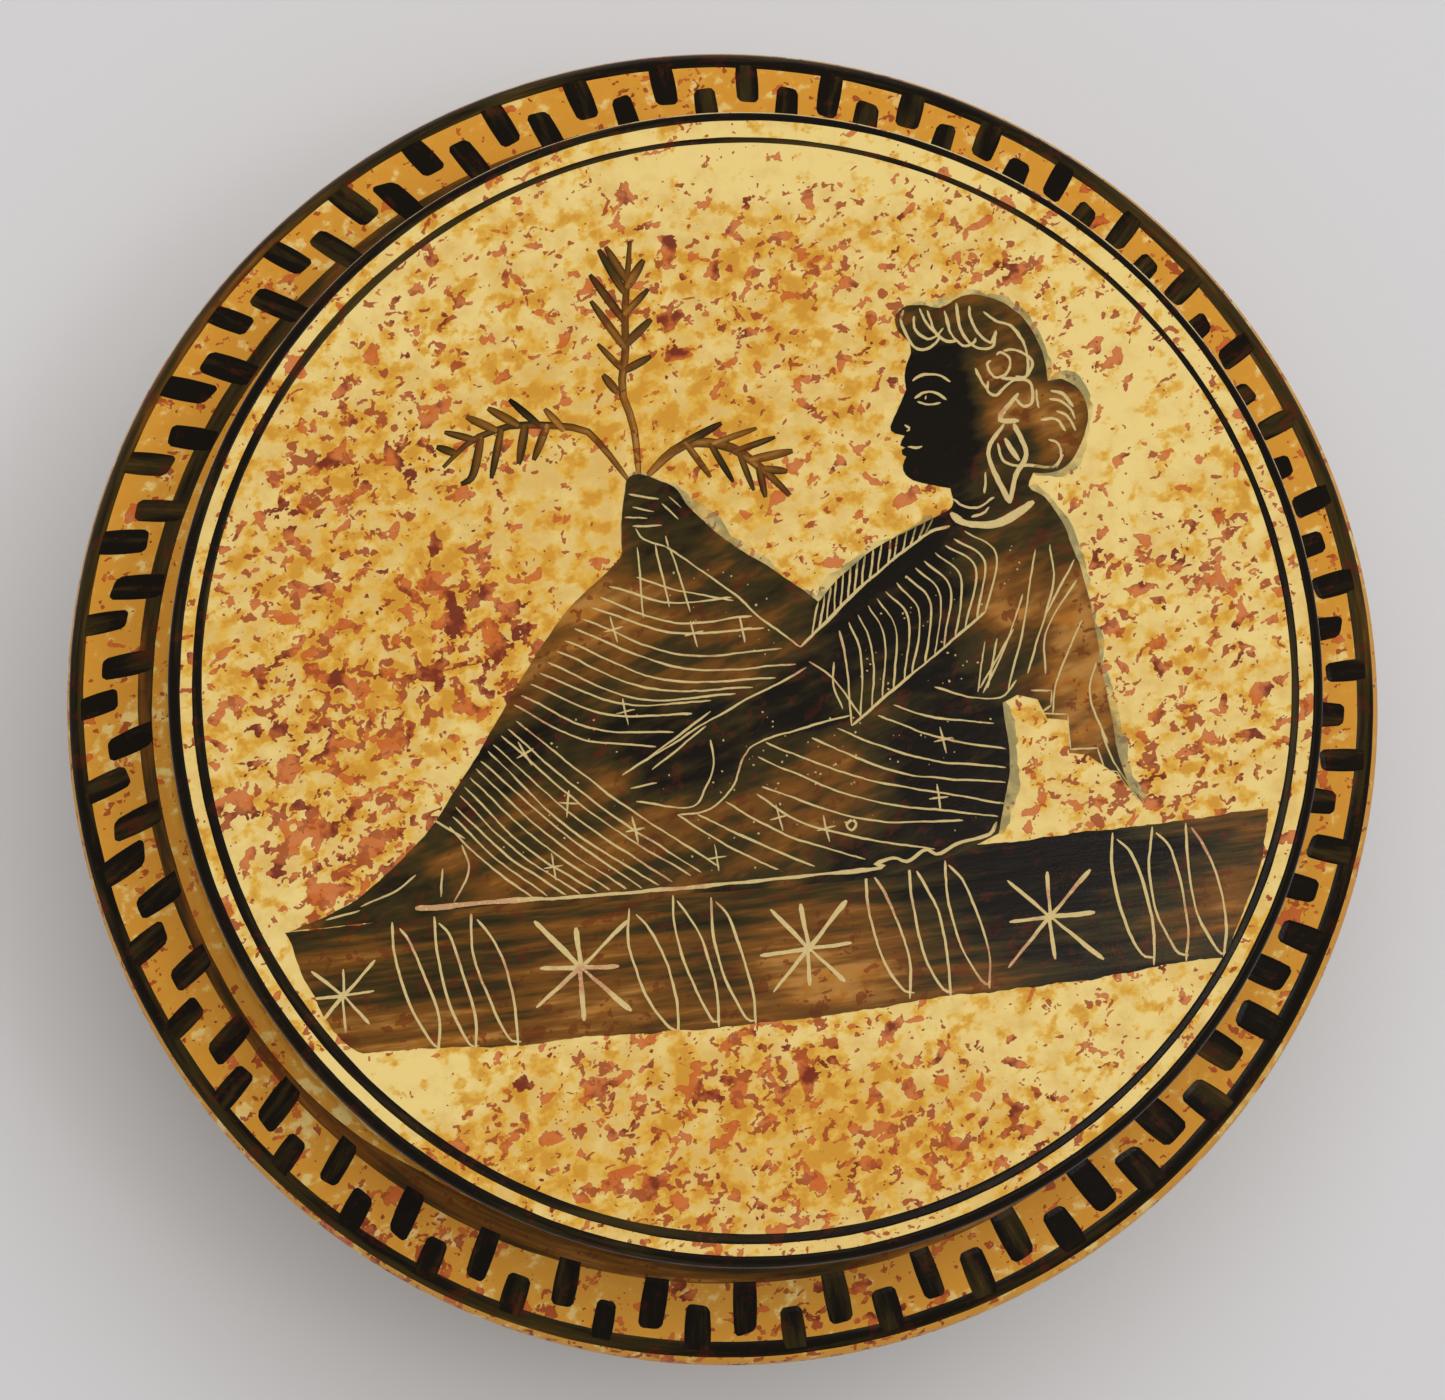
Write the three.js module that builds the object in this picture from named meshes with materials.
// A pyxis: a round pottery box, thrown on the wheel, with a lift-off lid.
// The lid is a flat-topped drum with a broad brim. Its brim lies on the box's rim,
// and a collar under it drops into the mouth, so the lid can't slide sideways.
// The box has walls that draw in to a waist, and stands on a turned ring foot.
// Millimetres, +Z up. The origin is the centre of the foot's resting plane.

import * as THREE from 'three';

// Lid
const lidDiameter = 140; // across the brim, the widest part of the object
const brimThickness = 5; // at the brim's outer edge
const brimRise = 0.8; // the brim's top climbs by this much towards the drum
const brimEdgeRound = 2.2; // radius of the brim's rounded outer edge
const drumDiameter = 118.2; // across the flat picture field's edge
const drumHeight = 26; // from the brim's top to the drum's flat top
const drumHollow = 0.7; // how far the drum's side is turned in at half height
const drumEdgeRound = 0.9; // radius of the drum's top edge
const drumFootFillet = 1.4; // radius where the drum's side meets the brim
const lidWall = 5; // thickness of the drum's side
const lidTopThickness = 5.5; // thickness of the drum's flat top
const lidInnerFillet = 5; // radius inside, between the drum's side and its top
const collarDepth = 7; // how far the collar reaches down into the mouth
const collarThickness = 3.8; // at the collar's lower edge
const collarEdgeRound = 1.2; // radius of the collar's lower outer edge

// Fit of the lid on the box
const collarClearance = 0.8; // all round, between the collar and the mouth
const seatGap = 0.3; // between the brim's underside and the rim's top
const ledgeClearance = 2; // below the collar, above the ledge inside the mouth

// Box
const boxHeight = 58; // from the resting plane to the rim's top
const mouthDiameter = 116; // across the opening
const rimWidth = 6.4; // from the mouth to the rim's outer edge
const rimHeight = 5.6; // height of the rolled rim
const rimRound = 2.2; // radius of the rolled rim's two outer edges
const rimInnerRound = 0.8; // radius of the mouth's upper edge
const neckDiameter = 124; // the wall, just under the rolled rim
const waistDiameter = 109; // the wall, at its narrowest
const waistHeight = 30; // height of the narrowest place
const wallFootDiameter = 121; // the wall, just above the foot
const boxWall = 5; // thickness of the wall
const floorThickness = 6;
const floorCove = 6; // radius inside, between the floor and the wall

// Foot
const footDiameter = 125;
const footHeight = 8;
const footRound = 2.6; // radius of the foot's two outer edges
const grooveHeight = 1.6; // turned groove between the foot and the wall
const grooveDepth = 1.2;
const footRingWidth = 9; // width of the ring that the box stands on
const recessDepth = 3.5; // the turned hollow inside that ring
const recessFillet = 2.5;

// Fineness of the model
const turnSteps = 72; // facets round the axis
const wallSteps = 7; // steps along a curved wall
const roundSteps = 3; // steps along a small rounded edge
const filletSteps = 4; // steps along a larger inner curve

// Heights and radii that follow from the sizes above
const brimBottom = boxHeight + seatGap;
const brimTop = brimBottom + brimThickness;
const drumFoot = brimTop + brimRise;
const drumTop = drumFoot + drumHeight;
const drumRadius = drumDiameter / 2;
const lidRadius = lidDiameter / 2;
const mouthRadius = mouthDiameter / 2;
const collarRadius = mouthRadius - collarClearance;
const collarBottom = brimBottom - collarDepth;
const rimRadius = mouthRadius + rimWidth;
const rimBottom = boxHeight - rimHeight;
const ledgeHeight = collarBottom - ledgeClearance;
const wallFootHeight = footHeight + grooveHeight;
const floorTop = recessDepth + floorThickness;
const footRadius = footDiameter / 2;
const ringOuterRadius = footRadius - footRound;
const recessRadius = ringOuterRadius - footRingWidth;

// Points on a circle in the profile plane: x is the radius from the axis, y the height.
function arc(x, y, radius, fromDegrees, toDegrees, steps) {
  const points = [];
  for (let i = 0; i <= steps; i += 1) {
    const angle = THREE.MathUtils.degToRad(THREE.MathUtils.lerp(fromDegrees, toDegrees, i / steps));
    points.push(new THREE.Vector2(x + radius * Math.cos(angle), y + radius * Math.sin(angle)));
  }
  return points;
}

// Radius of the drum's side at a share of its height: a shallow bow, deepest half way up.
function drumSide(share) {
  return drumRadius - drumHollow * Math.sin(Math.PI * share);
}

// Radius of the box's outer wall at a height: two parabolas that meet at the waist.
function wallRadius(height) {
  const waist = waistDiameter / 2;
  const above = height > waistHeight;
  const endHeight = above ? rimBottom : wallFootHeight;
  const endRadius = (above ? neckDiameter : wallFootDiameter) / 2;
  const share = (height - waistHeight) / (endHeight - waistHeight);
  return waist + (endRadius - waist) * share * share;
}

// Points along the box's wall between two heights, moved in by a thickness.
function wallLine(fromHeight, toHeight, inset) {
  const points = [];
  for (let i = 0; i <= wallSteps; i += 1) {
    const height = THREE.MathUtils.lerp(fromHeight, toHeight, i / wallSteps);
    points.push(new THREE.Vector2(wallRadius(height) - inset, height));
  }
  return points;
}

// Turns a profile round the +Z axis into a closed solid. The profiles run from their upper
// end on the axis to their lower one, and the lathe's faces point out the other way round.
function turned(name, profile, material) {
  const geometry = new THREE.LatheGeometry(profile.reverse(), turnSteps);
  geometry.rotateX(Math.PI / 2);
  const mesh = new THREE.Mesh(geometry, material);
  mesh.name = name;
  return mesh;
}

// The lid's profile, from the middle of its top, out and down over the drum and the brim,
// round the collar and up inside to the middle of the drum's underside.
function lidProfile() {
  const side = [];
  for (let i = 1; i < wallSteps; i += 1) {
    const share = 1 - i / wallSteps;
    const height = THREE.MathUtils.lerp(drumFoot + drumFootFillet, drumTop - drumEdgeRound, share);
    side.push(new THREE.Vector2(drumSide(share), height));
  }
  const innerRadius = drumRadius - lidWall;
  const ceiling = drumTop - lidTopThickness;
  const brimEnd = lidRadius - brimEdgeRound;
  const collarEnd = collarRadius - collarEdgeRound;
  return [
    new THREE.Vector2(0, drumTop),
    ...arc(drumRadius - drumEdgeRound, drumTop - drumEdgeRound, drumEdgeRound, 90, 0, roundSteps),
    ...side,
    ...arc(drumRadius + drumFootFillet, drumFoot + drumFootFillet, drumFootFillet, 180, 270, roundSteps),
    ...arc(brimEnd, brimTop - brimEdgeRound, brimEdgeRound, 90, 0, roundSteps),
    ...arc(brimEnd, brimBottom + brimEdgeRound, brimEdgeRound, 0, -90, roundSteps),
    new THREE.Vector2(collarRadius, brimBottom),
    ...arc(collarEnd, collarBottom + collarEdgeRound, collarEdgeRound, 0, -90, roundSteps),
    new THREE.Vector2(collarRadius - collarThickness, collarBottom),
    ...arc(innerRadius - lidInnerFillet, ceiling - lidInnerFillet, lidInnerFillet, 0, 90, filletSteps),
    new THREE.Vector2(0, ceiling),
  ];
}

// The box's profile, from the middle of the floor, up inside to the mouth, over the rim,
// down the outer wall to the foot and in under it to the middle of the recess.
function boxProfile() {
  const coveTop = floorTop + floorCove;
  const coveRadius = wallRadius(coveTop) - boxWall;
  return [
    new THREE.Vector2(0, floorTop),
    ...arc(coveRadius - floorCove, coveTop, floorCove, 270, 360, filletSteps).slice(0, -1),
    ...wallLine(coveTop, ledgeHeight, boxWall),
    new THREE.Vector2(mouthRadius, ledgeHeight),
    ...arc(mouthRadius + rimInnerRound, boxHeight - rimInnerRound, rimInnerRound, 180, 90, roundSteps),
    ...arc(rimRadius - rimRound, boxHeight - rimRound, rimRound, 90, 0, roundSteps),
    ...arc(rimRadius - rimRound, rimBottom + rimRound, rimRound, 0, -90, roundSteps),
    ...wallLine(rimBottom, wallFootHeight, 0),
    new THREE.Vector2(wallFootDiameter / 2 - grooveDepth, wallFootHeight),
    new THREE.Vector2(wallFootDiameter / 2 - grooveDepth, footHeight),
    ...arc(footRadius - footRound, footHeight - footRound, footRound, 90, 0, roundSteps),
    ...arc(footRadius - footRound, footRound, footRound, 0, -90, roundSteps),
    new THREE.Vector2(recessRadius, 0),
    ...arc(recessRadius - recessFillet, recessDepth - recessFillet, recessFillet, 0, 90, roundSteps),
    new THREE.Vector2(0, recessDepth),
  ];
}

const slip = { roughness: 0.42, metalness: 0 };
const lidFinish = new THREE.MeshStandardMaterial({ color: 0xe0bd62, ...slip });
const boxFinish = new THREE.MeshStandardMaterial({ color: 0xc98f45, ...slip });

const pyxis = new THREE.Group();
pyxis.add(turned('box', boxProfile(), boxFinish));
pyxis.add(turned('lid', lidProfile(), lidFinish));

export default pyxis;
